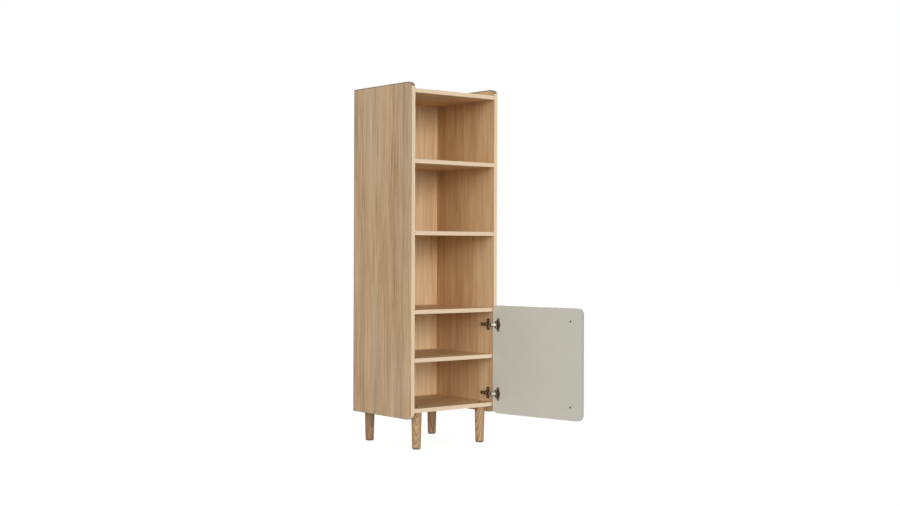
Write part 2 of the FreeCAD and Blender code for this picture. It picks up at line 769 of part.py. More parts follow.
def hinge_cup(name, level):
    """Drawn steel cup with a rim and two screw wings; the rim is open towards the hinge edge."""
    body = door_body(f"{name}_hinge_cup", level)
    wings = new_sketch(body, "XZ_Plane", inner_face)
    draw_rectangle(wings, f"({flange_place_x} - flange_width / 2)", "(-flange_height / 2)",
                   "flange_width", "flange_height")
    pad(body, wings, "flange_thickness", True)
    round_edges(body, "flange_corner_radius", lambda edge: runs_along(edge, "y"))
    rim = new_sketch(body, "XZ_Plane", inner_face)
    draw_circles(rim, "(cup_diameter + 2 * cup_rim_width)", [(cup_place_x, "0")])
    pad(body, rim, "flange_thickness", True)
    notch = new_sketch(body, "XZ_Plane", inner_face)
    draw_rectangle(notch, cup_place_x, f"(-{arm_inner_text})",
                   "(cup_diameter / 2 + 2 * cup_rim_width)", f"(2 * {arm_inner_text})")
    pocket(body, notch, "flange_thickness")
    shell = new_sketch(body, "XZ_Plane", inner_face)
    draw_circles(shell, "cup_diameter", [(cup_place_x, "0")])
    pad(body, shell, "cup_depth")
    cavity = new_sketch(body, "XZ_Plane", "(-door_thickness - flange_thickness)")
    draw_circles(cavity, "(cup_diameter - 2 * cup_wall)", [(cup_place_x, "0")])
    pocket(body, cavity, "(cup_depth + flange_thickness - cup_floor)", True)
    for edge_distance, depth, half in (
            ("outer_pivot_edge_distance", "outer_pivot_depth", outer_pin_half),
            ("inner_pivot_edge_distance", "inner_pivot_depth", inner_pin_half)):
        bores = new_sketch(body, "XY_Plane")
        draw_circles(bores, "(hinge_pin_diameter + 2 * running_clearance)",
                     [(f"(door_width - {edge_distance})", f"(door_thickness - {depth})")])
        reach = (f"sqrt(pow(cup_diameter / 2 - fit_clearance; 2)"
                 f" - pow({cup_middle} - {edge_distance} + hinge_pin_diameter / 2; 2))")
        bores.setExpression("AttachmentOffset.Base.z", formula(f"-({reach} + running_clearance)"))
        pocket(body, bores, f"(2 * ({reach} + running_clearance))", True)
    holes = new_sketch(body, "XZ_Plane", inner_face)
    draw_circles(holes, "(cup_screw_diameter + 2 * fit_clearance)",
                 [(flange_place_x, f"({sign}cup_screw_spacing / 2)") for sign in ("-", "")])
    pocket(body, holes, "flange_thickness")


arm_solid = hinge_arm()
outer_link_solid = outer_link()
inner_link_solid = inner_link()
arm_pins = Part.makeCompound([along_z(outer_frame, arm_half), along_z(inner_frame, arm_half)])
cup_pins = Part.makeCompound([along_z(outer_door, outer_pin_half), along_z(inner_door, inner_pin_half)])

for name, level in hinge_levels.items():
    raised = FreeCAD.Placement(Vector(0, 0, value(level)), FreeCAD.Rotation())
    mounting_plate(name, level)
    plain_piece(f"{name}_hinge_arm", arm_solid.copy(), raised)
    plain_piece(f"{name}_arm_pins", arm_pins.copy(), raised)
    plain_piece(f"{name}_outer_link", outer_link_solid.copy(), raised)
    plain_piece(f"{name}_inner_link", inner_link_solid.copy(), raised)
    hinge_cup(name, level)
    plain_piece(f"{name}_cup_pins", cup_pins.copy(), raised)

# Small screws of both hinges
arm_screw_places = [FreeCAD.Placement(Vector(0, value(depth), value(level)), FreeCAD.Rotation())
                    for level in hinge_levels.values() for depth in ("arm_clamp_depth", "arm_adjuster_depth")]
plain_piece("arm_screws", group(arm_screw(), arm_screw_places))

plate_screw = headed_screw(value("plate_screw_diameter"), value("plate_thickness + plate_screw_reach"),
                           value("plate_screw_head_diameter"), value("plate_screw_head_height"))
face_the_side = FreeCAD.Rotation(UP, 90)
plate_seat = complex(-value("plate_thickness"), value("plate_middle_depth"))
plate_screw_heights = [value(f"{level} {sign} plate_screw_spacing / 2")
                       for level in hinge_levels.values() for sign in "-+"]
plate_screw_places = [FreeCAD.Placement(to_vector(plate_seat, height), face_the_side)
                      for height in plate_screw_heights]
plain_piece("plate_screws", group(plate_screw, plate_screw_places))

cup_screw = headed_screw(value("cup_screw_diameter"), value("flange_thickness + cup_screw_reach"),
                         value("cup_screw_head_diameter"), value("cup_screw_head_height"))
cup_seat = Vector(value(flange_place_x), value("door_thickness + flange_thickness"), 0)
cup_screw_places = []
for rows in screw_rows.values():
    for row in rows:
        seat = cup_seat + Vector(0, 0, value(row))
        cup_screw_places.append(door_placement(value(door_bottom)).multiply(
            FreeCAD.Placement(seat, FreeCAD.Rotation())))
plain_piece("cup_screws", group(cup_screw, cup_screw_places))

# Check everything, then write one file for each piece
doc.recompute()
for item in doc.Objects:
    if {"Invalid", "Error"} & set(item.State):
        raise ValueError(f"{item.Label} has failed: {item.State}")
for node in nodes:
    if node.Shape.isNull() or not node.Shape.isValid():
        raise ValueError(f"{node.Label} has no valid shape")
for node in nodes:
    node.Shape.exportStep(f"parts/{node.Label}.step")
for pivot_name, pivot in (("outer link on the arm", outer_frame), ("inner link on the arm", inner_frame),
                          ("outer link in the cup", outer_door), ("inner link in the cup", inner_door)):
    place = to_vector(pivot)
    print(f"{pivot_name}: x {place.x:.4f} y {place.y:.4f}")
print("pieces:", len(nodes))
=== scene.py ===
import math
import bmesh
import bpy
from mathutils import Matrix, Vector


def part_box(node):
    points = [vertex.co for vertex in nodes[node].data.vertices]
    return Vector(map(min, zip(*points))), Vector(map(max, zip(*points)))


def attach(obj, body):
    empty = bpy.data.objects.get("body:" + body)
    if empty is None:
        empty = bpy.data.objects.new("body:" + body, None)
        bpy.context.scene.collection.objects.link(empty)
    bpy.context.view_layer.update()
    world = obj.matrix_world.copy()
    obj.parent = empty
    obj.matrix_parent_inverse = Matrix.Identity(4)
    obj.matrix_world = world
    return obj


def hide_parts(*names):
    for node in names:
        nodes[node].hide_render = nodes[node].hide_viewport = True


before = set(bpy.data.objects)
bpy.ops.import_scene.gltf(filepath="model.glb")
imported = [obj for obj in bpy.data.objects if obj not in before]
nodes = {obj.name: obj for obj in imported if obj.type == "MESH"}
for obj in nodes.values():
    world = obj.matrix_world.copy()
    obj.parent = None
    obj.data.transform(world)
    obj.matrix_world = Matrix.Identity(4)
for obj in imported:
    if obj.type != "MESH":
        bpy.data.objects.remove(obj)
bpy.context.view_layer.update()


# Side panels: two upright 18 mm boards, veneered on both faces with straight-grained wood.
# The front edges are banded with a paler strip. The other edges and the round top corners are painted
# with a thin dark line that also shows on the faces: painted shade for how these edges darken, with no
# lipping under it.

MM = 0.001
ALONG_X, ALONG_Y, ALONG_Z = 0, 1, 2


def colour(text):
    """sRGB hex to the linear colour that a shader takes."""
    parts = [int(text[start:start + 2], 16) / 255 for start in (0, 2, 4)]
    return [part / 12.92 if part <= 0.04045 else ((part + 0.055) / 1.055) ** 2.4 for part in parts] + [1.0]


def add(tree, kind, settings, inputs, stops=()):
    """Add one node with its settings, its inputs as constants or links, and a colour ramp's stops."""
    made = tree.nodes.new(kind)
    for name, setting in settings.items():
        setattr(made, name, setting)
    for key, source in inputs.items():
        if isinstance(source, bpy.types.NodeSocket):
            tree.links.new(source, made.inputs[key])
        else:
            made.inputs[key].default_value = source
    for index, (position, shade) in enumerate(stops):
        points = made.color_ramp.elements
        point = points[index] if index < 2 else points.new(position)
        point.position = position
        point.color = shade
    return made


def new_finish(name):
    """A material with its surface shader and the place on the object."""
    material = bpy.data.materials.new(name)
    material.use_nodes = True
    tree = material.node_tree
    tree.nodes.clear()
    surface = add(tree, "ShaderNodeBsdfPrincipled", {}, {})
    add(tree, "ShaderNodeOutputMaterial", {}, {"Surface": surface.outputs["BSDF"]})
    place = add(tree, "ShaderNodeTexCoord", {}, {}).outputs["Object"]
    return material, tree, surface, place


def streaks(tree, place, grain_axis, length, width, detail, sheet=0.0):
    """Noise drawn out along the grain, in streaks of that length and width in millimetres."""
    scale = [1 / (width * MM)] * 3
    scale[grain_axis] = 1 / (length * MM)
    drawn = add(tree, "ShaderNodeMapping", {}, {"Vector": place, "Scale": scale, "Location": [sheet] * 3})
    noise = add(tree, "ShaderNodeTexNoise", {}, {"Vector": drawn.outputs["Vector"], "Scale": 1.0,
                                                 "Detail": detail, "Roughness": 0.55})
    return noise.outputs["Fac"]


def sum_of(tree, terms):
    """Weighted sum of single values."""
    total = 0.0
    for socket, weight in terms:
        total = add(tree, "ShaderNodeMath", {"operation": "MULTIPLY_ADD"},
                    {0: socket, 1: weight, 2: total}).outputs[0]
    return total


def facing(tree, axis, low, high):
    """1 where the surface faces along that axis, either way, and 0 where it lies along it."""
    normal = add(tree, "ShaderNodeNewGeometry", {}, {}).outputs["True Normal"]
    split = add(tree, "ShaderNodeSeparateXYZ", {}, {"Vector": normal})
    size = add(tree, "ShaderNodeMath", {"operation": "ABSOLUTE"}, {0: split.outputs[axis]})
    return add(tree, "ShaderNodeMapRange", {}, {"Value": size.outputs[0], "From Min": low,
                                                "From Max": high}).outputs["Result"]


PANEL_LOW, PANEL_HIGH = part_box("side_panel_left")
CORNER_ROUND = 30 * MM
# Painted shade: where the dark edge line starts up the round corner, and how wide it is along the top and
# along the rear and lower edges
EDGE_SHADE_START = 0.35 * CORNER_ROUND     # how far up the round corner the front band ends
TOP_EDGE_SHADE = 4 * MM
REAR_EDGE_SHADE = 2 * MM


def painted_edge_shade(tree, place):
    """1 on the painted shade line along the top, rear and lower edges, where it also reaches onto the faces.
    """
    split = add(tree, "ShaderNodeSeparateXYZ", {}, {"Vector": place}).outputs
    rise = add(tree, "ShaderNodeMath", {"operation": "SUBTRACT"},
               {0: split["Z"], 1: PANEL_HIGH[2] - CORNER_ROUND}).outputs[0]
    forward = add(tree, "ShaderNodeMath", {"operation": "SUBTRACT"},
                  {0: PANEL_LOW[1] + CORNER_ROUND, 1: split["Y"]}).outputs[0]
    corner = add(tree, "ShaderNodeCombineXYZ", {}, {"X": rise, "Y": forward, "Z": 0.0}).outputs[0]
    corner = add(tree, "ShaderNodeVectorMath", {"operation": "MAXIMUM"},
                 {0: corner, 1: [0.0] * 3}).outputs[0]
    reach = add(tree, "ShaderNodeVectorMath", {"operation": "LENGTH"}, {0: corner}).outputs["Value"]
    outside = add(tree, "ShaderNodeMath", {"operation": "GREATER_THAN"},
                  {0: reach, 1: CORNER_ROUND - TOP_EDGE_SHADE}).outputs[0]
    above = add(tree, "ShaderNodeMath", {"operation": "GREATER_THAN"}, {0: rise, 1: EDGE_SHADE_START}).outputs[0]
    rear = add(tree, "ShaderNodeMath", {"operation": "GREATER_THAN"},
               {0: split["Y"], 1: PANEL_HIGH[1] - REAR_EDGE_SHADE}).outputs[0]
    low = add(tree, "ShaderNodeMath", {"operation": "LESS_THAN"},
              {0: split["Z"], 1: PANEL_LOW[2] + REAR_EDGE_SHADE}).outputs[0]
    top = add(tree, "ShaderNodeMath", {"operation": "MULTIPLY"}, {0: outside, 1: above}).outputs[0]
    other = add(tree, "ShaderNodeMath", {"operation": "MAXIMUM"}, {0: rear, 1: low}).outputs[0]
    return add(tree, "ShaderNodeMath", {"operation": "MAXIMUM"}, {0: top, 1: other}).outputs[0]


GREY_CAST = colour("B5A68F")
EDGE_BAND_TONE = colour("E8D3B6")
EDGE_BAND_GRAIN = 0.15
# Painted shade: the tone and cover of the dark line along the top, rear and lower edges
EDGE_SHADE_TONE = colour("77664F")
EDGE_SHADE_COVER = 0.9
VENEER_BEND = 8 * MM            # how far the grain wanders sideways
VENEER_BEND_LENGTH = 260 * MM


def veneer_finish(name, grain_axis, sheet, tones, cast_share, banded=True, edge_shaded=False):
    """Straight-grained oak veneer under satin lacquer, sheet by sheet.

    Broad bands, flames, narrow lines and short pores run along the grain, each at its own place in
    the noise, and grey patches lie over them. The eye sees warm streaks with a soft gloss.
    """
    material, tree, surface, place = new_finish(name)
    bend = add(tree, "ShaderNodeTexNoise", {}, {"Vector": place, "Scale": 1 / VENEER_BEND_LENGTH,
                                                "Detail": 1.0})
    across = [VENEER_BEND] * 3
    across[grain_axis] = 0.0
    bent = add(tree, "ShaderNodeVectorMath", {"operation": "MULTIPLY_ADD"},
               {0: bend.outputs["Color"], 1: across, 2: place}).outputs["Vector"]
    bands = streaks(tree, bent, grain_axis, length=1100, width=60, detail=1.0, sheet=sheet)
    flames = streaks(tree, bent, grain_axis, length=320, width=14, detail=2.0, sheet=sheet + 7)
    lines = streaks(tree, bent, grain_axis, length=190, width=4.5, detail=2.0, sheet=sheet + 17)
    pores = streaks(tree, place, grain_axis, length=45, width=1.3, detail=2.0, sheet=sheet + 13)
    grain = sum_of(tree, [(bands, 0.25), (flames, 0.27), (lines, 0.31), (pores, 0.17)])
    tone = add(tree, "ShaderNodeValToRGB", {}, {"Fac": grain}, tones).outputs["Color"]
    patches = streaks(tree, bent, grain_axis, length=900, width=55, detail=1.0, sheet=sheet + 29)
    cast = add(tree, "ShaderNodeMapRange", {}, {"Value": patches, "From Min": 0.48, "From Max": 0.68,
                                                "To Max": cast_share})
    tone = add(tree, "ShaderNodeMix", {"data_type": "RGBA"},
               {0: cast.outputs["Result"], 6: tone, 7: GREY_CAST}).outputs[2]
    if banded:
        band = add(tree, "ShaderNodeMix", {"data_type": "RGBA", "blend_type": "MULTIPLY"},
                   {0: EDGE_BAND_GRAIN, 6: EDGE_BAND_TONE, 7: tone}).outputs[2]
        tone = add(tree, "ShaderNodeMix", {"data_type": "RGBA"},
                   {0: facing(tree, ALONG_Y, low=0.5, high=0.8), 6: tone, 7: band}).outputs[2]
    # Painted shade: a thin dark line along the top, rear and lower edges and round the top corners
    if edge_shaded:
        share = add(tree, "ShaderNodeMath", {"operation": "MULTIPLY"},
                    {0: painted_edge_shade(tree, place), 1: EDGE_SHADE_COVER})
        tone = add(tree, "ShaderNodeMix", {"data_type": "RGBA"},
                   {0: share.outputs[0], 6: tone, 7: EDGE_SHADE_TONE}).outputs[2]
    tree.links.new(tone, surface.inputs["Base Color"])
    rough = add(tree, "ShaderNodeMapRange", {}, {"Value": pores, "To Min": 0.40, "To Max": 0.56})
    tree.links.new(rough.outputs["Result"], surface.inputs["Roughness"])
    relief = add(tree, "ShaderNodeBump", {}, {"Height": pores, "Distance": 0.05 * MM, "Strength": 0.35})
    tree.links.new(relief.outputs["Normal"], surface.inputs["Normal"])
    surface.inputs["IOR"].default_value = 1.45
    return material


SAME_CORNER = 0.005 * MM        # corners closer than this are one corner, split by the mesher
FLAT_WITHIN = math.radians(0.5)
SHARP_FROM = math.radians(50)
FLAT_FACE_WEIGHT = 100
BOARD_ARRIS = 0.5 * MM


def dress(names, material, arris=0.0):
    """Give CAD pieces their finish and, on their arrises, the small round that sanding leaves."""
    for name in names:
        piece = nodes[name]
        piece.data.materials.clear()
        piece.data.materials.append(material)
        if arris:
            joined = piece.modifiers.new("joined_faces", "WELD")
            joined.merge_threshold = SAME_CORNER
            flat = piece.modifiers.new("whole_flat_faces", "DECIMATE")
            flat.decimate_type = "DISSOLVE"
            flat.angle_limit = FLAT_WITHIN
            rounding = piece.modifiers.new("sanded_arris", "BEVEL")
            rounding.width = arris
            rounding.segments = 2
            rounding.limit_method = "ANGLE"
            rounding.angle_limit = SHARP_FROM
            shading = piece.modifiers.new("flat_beside_arris", "WEIGHTED_NORMAL")
            shading.weight = FLAT_FACE_WEIGHT


GREYER_SHEET = [(0.35, colour("8E6D49")), (0.45, colour("B8946B")), (0.53, colour("C9A982")),
                (0.64, colour("DCC19E"))]
WARMER_SHEET = [(0.33, colour("B3895E")), (0.45, colour("CDA679")), (0.53, colour("DAB88B")),
                (0.66, colour("E6CBA3"))]
left_veneer = veneer_finish("oak_veneer_left_side", ALONG_Z, sheet=3.0, tones=GREYER_SHEET,
                            cast_share=0.4, edge_shaded=True)
right_veneer = veneer_finish("oak_veneer_right_side", ALONG_Z, sheet=11.0, tones=WARMER_SHEET,
                             cast_share=0.1, edge_shaded=True)
dress(["side_panel_left"], left_veneer, BOARD_ARRIS)
dress(["side_panel_right"], right_veneer, BOARD_ARRIS)


# Fixed boards: six boards of the same veneered board between the sides, grain from side to side.
# Their front edges carry the pale band, and hidden plywood tongues hold them.

board_names = ["top_panel", "shelf_1", "shelf_2", "cupboard_top", "cupboard_shelf", "bottom_panel"]
shelf_veneer = veneer_finish("oak_veneer_shelves", ALONG_X, sheet=5.0, tones=WARMER_SHEET, cast_share=0.1)
dress(board_names, shelf_veneer, BOARD_ARRIS)

PLY_TONES = [(0.2, colour("C9AA82")), (0.6, colour("B38F66")), (0.9, colour("8A6540"))]


def plywood_finish(name, layer):
    """Birch plywood: the cut edge shows its layers, and the faces a fine mottled grain."""
    material, tree, surface, place = new_finish(name)
    fibres = streaks(tree, place, ALONG_Y, length=60, width=1.1, detail=2.0)
    split = add(tree, "ShaderNodeSeparateXYZ", {}, {"Vector": place}).outputs["Z"]
    layers = add(tree, "ShaderNodeMath", {"operation": "PINGPONG"}, {0: split, 1: layer}).outputs[0]
    grain = sum_of(tree, [(fibres, 0.8), (layers, 0.3 / layer)])
    tone = add(tree, "ShaderNodeValToRGB", {}, {"Fac": grain}, PLY_TONES)
    tree.links.new(tone.outputs["Color"], surface.inputs["Base Color"])
    surface.inputs["Roughness"].default_value = 0.6
    return material


dress(["board_tongues"], plywood_finish("birch_plywood", layer=1.3 * MM))


# Back panel: a thin veneered board that slides into grooves in the sides, grain upright.
# It sits back from the rear edges, and its veneer is painted lighter than the sides': painted light, for the
# light that falls on it inside the shelves.

# Painted light: the back's tones are raised to stand in for the light falling on it
LIGHTENED_BACK_SHEET = [(0.30, colour("C69D70")), (0.45, colour("DCB98C")), (0.53, colour("E6C79D")),
              (0.68, colour("F0DAB6"))]
back_veneer = veneer_finish("oak_veneer_back", ALONG_Z, sheet=23.0, tones=LIGHTENED_BACK_SHEET, cast_share=0.1,
                            banded=False)
dress(["back_panel"], back_veneer)


# Threaded inserts: turned steel sleeves, plated with zinc, one in the top of each leg.
# The leg bolts run into them, and they are out of sight.

def deeper(tone, share):
    """The same tone with that share of its light."""
    return [part * share for part in tone[:3]] + [1.0]


def metal_finish(name, tone, roughness, grain_width):
    """Plain metal: the tone wanders a little, and fine marks break up the gloss.

    The marks are drawn coarser than the real ones, which are too fine to show.
    """
    material, tree, surface, place = new_finish(name)
    cloud = add(tree, "ShaderNodeTexNoise", {}, {"Vector": place, "Scale": 1 / (6 * MM), "Detail": 3.0})
    shade = add(tree, "ShaderNodeValToRGB", {}, {"Fac": cloud.outputs["Fac"]},
                [(0.3, deeper(tone, 0.86)), (0.7, tone)])
    tree.links.new(shade.outputs["Color"], surface.inputs["Base Color"])
    marks = add(tree, "ShaderNodeTexNoise", {},
                {"Vector": place, "Scale": 1 / (grain_width * MM), "Detail": 2.0})
    rough = add(tree, "ShaderNodeMapRange", {}, {"Value": marks.outputs["Fac"], "To Min": roughness * 0.8,
                                                 "To Max": roughness * 1.25})
    tree.links.new(rough.outputs["Result"], surface.inputs["Roughness"])
    relief = add(tree, "ShaderNodeBump", {}, {"Height": marks.outputs["Fac"], "Distance": 0.02 * MM,
                                              "Strength": 0.2})
    tree.links.new(relief.outputs["Normal"], surface.inputs["Normal"])
    surface.inputs["Metallic"].default_value = 1.0
    return material


ROUND_BELOW = math.radians(30)
smooth_turning = bpy.data.node_groups.new("smooth_turned_faces", "GeometryNodeTree")
smooth_turning.interface.new_socket(name="Geometry", in_out="INPUT", socket_type="NodeSocketGeometry")
smooth_turning.interface.new_socket(name="Geometry", in_out="OUTPUT", socket_type="NodeSocketGeometry")
turned_shape = add(smooth_turning, "NodeGroupInput", {}, {}).outputs["Geometry"]
edge_angle = add(smooth_turning, "GeometryNodeInputMeshEdgeAngle", {}, {}).outputs["Unsigned Angle"]
gentle = add(smooth_turning, "FunctionNodeCompare", {"operation": "LESS_THAN"},
             {0: edge_angle, 1: ROUND_BELOW})
soft = add(smooth_turning, "GeometryNodeSetShadeSmooth", {"domain": "FACE"},
           {"Geometry": turned_shape, "Shade Smooth": True})
soft = add(smooth_turning, "GeometryNodeSetShadeSmooth", {"domain": "EDGE"},
           {"Geometry": soft.outputs[0], "Shade Smooth": gentle.outputs[0]})
add(smooth_turning, "NodeGroupOutput", {}, {"Geometry": soft.outputs[0]})


def turn_smooth(names):
    """Shade the round faces of turned and pressed pieces as round ones; sharp edges stay sharp."""
    for name in names:
        joined = nodes[name].modifiers.new("joined_faces", "WELD")
        joined.merge_threshold = SAME_CORNER
        shading = nodes[name].modifiers.new("smooth_turned_faces", "NODES")
        shading.node_group = smooth_turning


dress(["leg_inserts"], metal_finish("zinc_plated_steel", colour("B9B7B0"), roughness=0.38, grain_width=0.8))
turn_smooth(["leg_inserts"])


# Legs: four round tapered legs, turned from solid ash and lacquered, bolted on from inside.
# The cut through the growth rings draws the long pointed figure on the front ones; the rear ones
# are cut along their rings and show straight streaks, in a darker, browner tone that is in part painted shade
# for the shade under the carcass.

LEG_TONES = [(0.12, colour("C8A87D")), (0.50, colour("AD8960")), (0.80, colour("886340")),
             (0.93, colour("A78359"))]
# Rear legs: a darker, browner tone, in part painted shade for the shade under the carcass
SHADED_REAR_LEG_TONES = [(0.12, colour("AA8561")), (0.50, colour("926C48")), (0.80, colour("6D482D")),
                   (0.93, colour("8C6744"))]
# Painted shade: the dark tone and the height of the darkening at the lower edge of each foot
FOOT_SHADE_TONE = colour("5A432D")
SHADED_FOOT_HEIGHT = 5 * MM
WANDER_ACROSS = 90 * MM
WANDER_ALONG = 220 * MM
RING_WANDER = 5.0           # in rings


def solid_wood_finish(name, tones, ring_width, pith, lean, shaded_foot=False):
    """Lacquered solid ash: growth rings round a pith outside the piece, with fine fibres.

    The eye sees pointed bands of light early wood and dark late wood, and painted shade darkening a foot
    towards its lower edge.
    The rings are drawn wider than real ones, which are too fine to show.
    """
    material, tree, surface, place = new_finish(name)
    slow = add(tree, "ShaderNodeMapping", {},
               {"Vector": place, "Scale": [1 / WANDER_ACROSS, 1 / WANDER_ACROSS, 1 / WANDER_ALONG]})
    wander = add(tree, "ShaderNodeTexNoise", {},
                 {"Vector": slow.outputs["Vector"], "Scale": 1.0, "Detail": 2.0})
    centred = add(tree, "ShaderNodeMapping", {}, {"Vector": place, "Location": pith,
                                                 "Rotation": [math.radians(lean), math.radians(-lean), 0.0]})
    flat = add(tree, "ShaderNodeVectorMath", {"operation": "MULTIPLY"},
               {0: centred.outputs["Vector"], 1: [1.0, 1.0, 0.0]})
    reach = add(tree, "ShaderNodeVectorMath", {"operation": "LENGTH"}, {0: flat.outputs["Vector"]})
    rings = sum_of(tree, [(reach.outputs["Value"], 1 / (ring_width * MM)),
                          (wander.outputs["Fac"], RING_WANDER)])
    season = add(tree, "ShaderNodeMath", {"operation": "FRACT"}, {0: rings}).outputs[0]
    fibres = streaks(tree, place, ALONG_Z, length=90, width=1.1, detail=2.0)
    grain = sum_of(tree, [(season, 0.55), (fibres, 0.45)])
    tone = add(tree, "ShaderNodeValToRGB", {}, {"Fac": grain}, tones).outputs["Color"]
    # Painted shade: the foot darkens towards its lower edge
    if shaded_foot:
        level = add(tree, "ShaderNodeSeparateXYZ", {}, {"Vector": place}).outputs["Z"]
        edge = add(tree, "ShaderNodeMapRange", {},
                   {"Value": level, "From Min": SHADED_FOOT_HEIGHT, "From Max": 1.6 * SHADED_FOOT_HEIGHT,
                    "To Min": 0.8, "To Max": 0.0})
        tone = add(tree, "ShaderNodeMix", {"data_type": "RGBA"},
                   {0: edge.outputs["Result"], 6: tone, 7: FOOT_SHADE_TONE}).outputs[2]
    tree.links.new(tone, surface.inputs["Base Color"])
    surface.inputs["Roughness"].default_value = 0.42
    relief = add(tree, "ShaderNodeBump", {}, {"Height": fibres, "Distance": 0.05 * MM, "Strength": 0.3})
    tree.links.new(relief.outputs["Normal"], surface.inputs["Normal"])
    return material


front_legs = ["leg_front_left", "leg_front_right"]
rear_legs = ["leg_rear_left", "leg_rear_right"]
dress(front_legs, solid_wood_finish("turned_ash", LEG_TONES, ring_width=10.0, pith=[0.05, 0.06, 0.0],
                                    lean=8, shaded_foot=True))
dress(rear_legs, solid_wood_finish("turned_ash_with_painted_shade", SHADED_REAR_LEG_TONES, ring_width=8.0,
                                   pith=[0.12, 0.30, 0.0], lean=2, shaded_foot=True))
turn_smooth(front_legs + rear_legs)


# Glides: four plain discs of moulded polypropylene, nearly black, one under each foot.
# They stand a little in from the edge of the foot. How they are fixed doesn't show.

def plastic_finish(name, tone, roughness):
    """Moulded plastic, dull, with the faint grit that the mould leaves, drawn coarser than it is."""
    material, tree, surface, place = new_finish(name)
    grit = add(tree, "ShaderNodeTexNoise", {}, {"Vector": place, "Scale": 1 / (0.8 * MM), "Detail": 2.0})
    shade = add(tree, "ShaderNodeValToRGB", {}, {"Fac": grit.outputs["Fac"]},
                [(0.3, deeper(tone, 0.85)), (0.7, tone)])
    tree.links.new(shade.outputs["Color"], surface.inputs["Base Color"])
    surface.inputs["Roughness"].default_value = roughness
    relief = add(tree, "ShaderNodeBump", {}, {"Height": grit.outputs["Fac"], "Distance": 0.03 * MM,
                                              "Strength": 0.4})
    tree.links.new(relief.outputs["Normal"], surface.inputs["Normal"])
    return material


dress(["leg_glides"], plastic_finish("moulded_polypropylene", colour("2A2724"), roughness=0.6))
turn_smooth(["leg_glides"])


# Leg bolts: four steel bolts, blackened in oxide, that go down through the bottom into the legs.
# Of them only button heads with a hexagon socket should show inside the lower cupboard. An open fault:
# cutting the socket takes the dome of the head away, so that the socket alone is left.

screw_tree = bpy.data.node_groups.new("screws_on_seats", "GeometryNodeTree")
screw_inputs = {"Seats": "NodeSocketGeometry", "Head Radius": "NodeSocketFloat",
                "Head Height": "NodeSocketFloat", "Shank Radius": "NodeSocketFloat",
                "Reach": "NodeSocketFloat", "Outward": "NodeSocketVector",
                "Hexagon Socket": "NodeSocketBool", "Finish": "NodeSocketMaterial"}
screw_keys = {label: screw_tree.interface.new_socket(name=label, in_out="INPUT", socket_type=kind).identifier
              for label, kind in screw_inputs.items()}
screw_tree.interface.new_socket(name="Screws", in_out="OUTPUT", socket_type="NodeSocketGeometry")
given = add(screw_tree, "NodeGroupInput", {}, {}).outputs

# The head is the upper half of a ball, cut off flat on top, on a flat underside.
HEAD_CROWN = 1.3        # the ball's height before the cut, in heights of the head
ball = add(screw_tree, "GeometryNodeMeshUVSphere", {}, {"Segments": 24, "Rings": 12, "Radius": 1.0})
spot = add(screw_tree, "ShaderNodeSeparateXYZ", {},
           {"Vector": add(screw_tree, "GeometryNodeInputPosition", {}, {}).outputs[0]}).outputs
dome = add(screw_tree, "ShaderNodeMath", {"operation": "MULTIPLY", "use_clamp": True},
           {0: spot["Z"], 1: HEAD_CROWN})
dome = add(screw_tree, "ShaderNodeCombineXYZ", {}, {"X": spot["X"], "Y": spot["Y"], "Z": dome.outputs[0]})
head_size = add(screw_tree, "ShaderNodeCombineXYZ", {}, {"X": given["Head Radius"], "Y": given["Head Radius"],
                                                         "Z": given["Head Height"]}).outputs[0]
dome = add(screw_tree, "ShaderNodeVectorMath", {"operation": "MULTIPLY"}, {0: dome.outputs[0], 1: head_size})
head = add(screw_tree, "GeometryNodeSetPosition", {}, {"Geometry": ball.outputs["Mesh"],
                                                       "Position": dome.outputs[0]}).outputs[0]

# The drive is a cross or a hexagon, sunk to about half the height of the head.
BAR_LENGTH = 1.15       # in radii of the head
BAR_WIDTH = 0.22
BAR_HEIGHT = 1.1        # in heights of the head
HEXAGON_RADIUS = 0.5
cutters = []
for shares in ([BAR_LENGTH, BAR_WIDTH, BAR_HEIGHT], [BAR_WIDTH, BAR_LENGTH, BAR_HEIGHT]):
    bar_size = add(screw_tree, "ShaderNodeVectorMath", {"operation": "MULTIPLY"}, {0: head_size, 1: shares})
    cutters.append(add(screw_tree, "GeometryNodeMeshCube", {}, {"Size": bar_size.outputs[0]}).outputs["Mesh"])
cross = add(screw_tree, "GeometryNodeMeshBoolean", {"operation": "UNION"}, {})
for cutter in cutters:
    screw_tree.links.new(cutter, cross.inputs["Mesh 2"])
hexagon_radius = add(screw_tree, "ShaderNodeMath", {"operation": "MULTIPLY"},
                     {0: given["Head Radius"], 1: HEXAGON_RADIUS})
hexagon = add(screw_tree, "GeometryNodeMeshCylinder", {},
              {"Vertices": 6, "Radius": hexagon_radius.outputs[0], "Depth": given["Head Height"]})
drive = add(screw_tree, "GeometryNodeSwitch", {"input_type": "GEOMETRY"},
            {"Switch": given["Hexagon Socket"], "False": cross.outputs["Mesh"],
             "True": hexagon.outputs["Mesh"]})
head_top = add(screw_tree, "ShaderNodeCombineXYZ", {}, {"X": 0.0, "Y": 0.0, "Z": given["Head Height"]})
drive = add(screw_tree, "GeometryNodeTransform", {}, {"Geometry": drive.outputs[0],
                                                      "Translation": head_top.outputs[0]})
head = add(screw_tree, "GeometryNodeMeshBoolean", {"operation": "DIFFERENCE"},
           {"Mesh 1": head, "Mesh 2": drive.outputs[0]}).outputs["Mesh"]

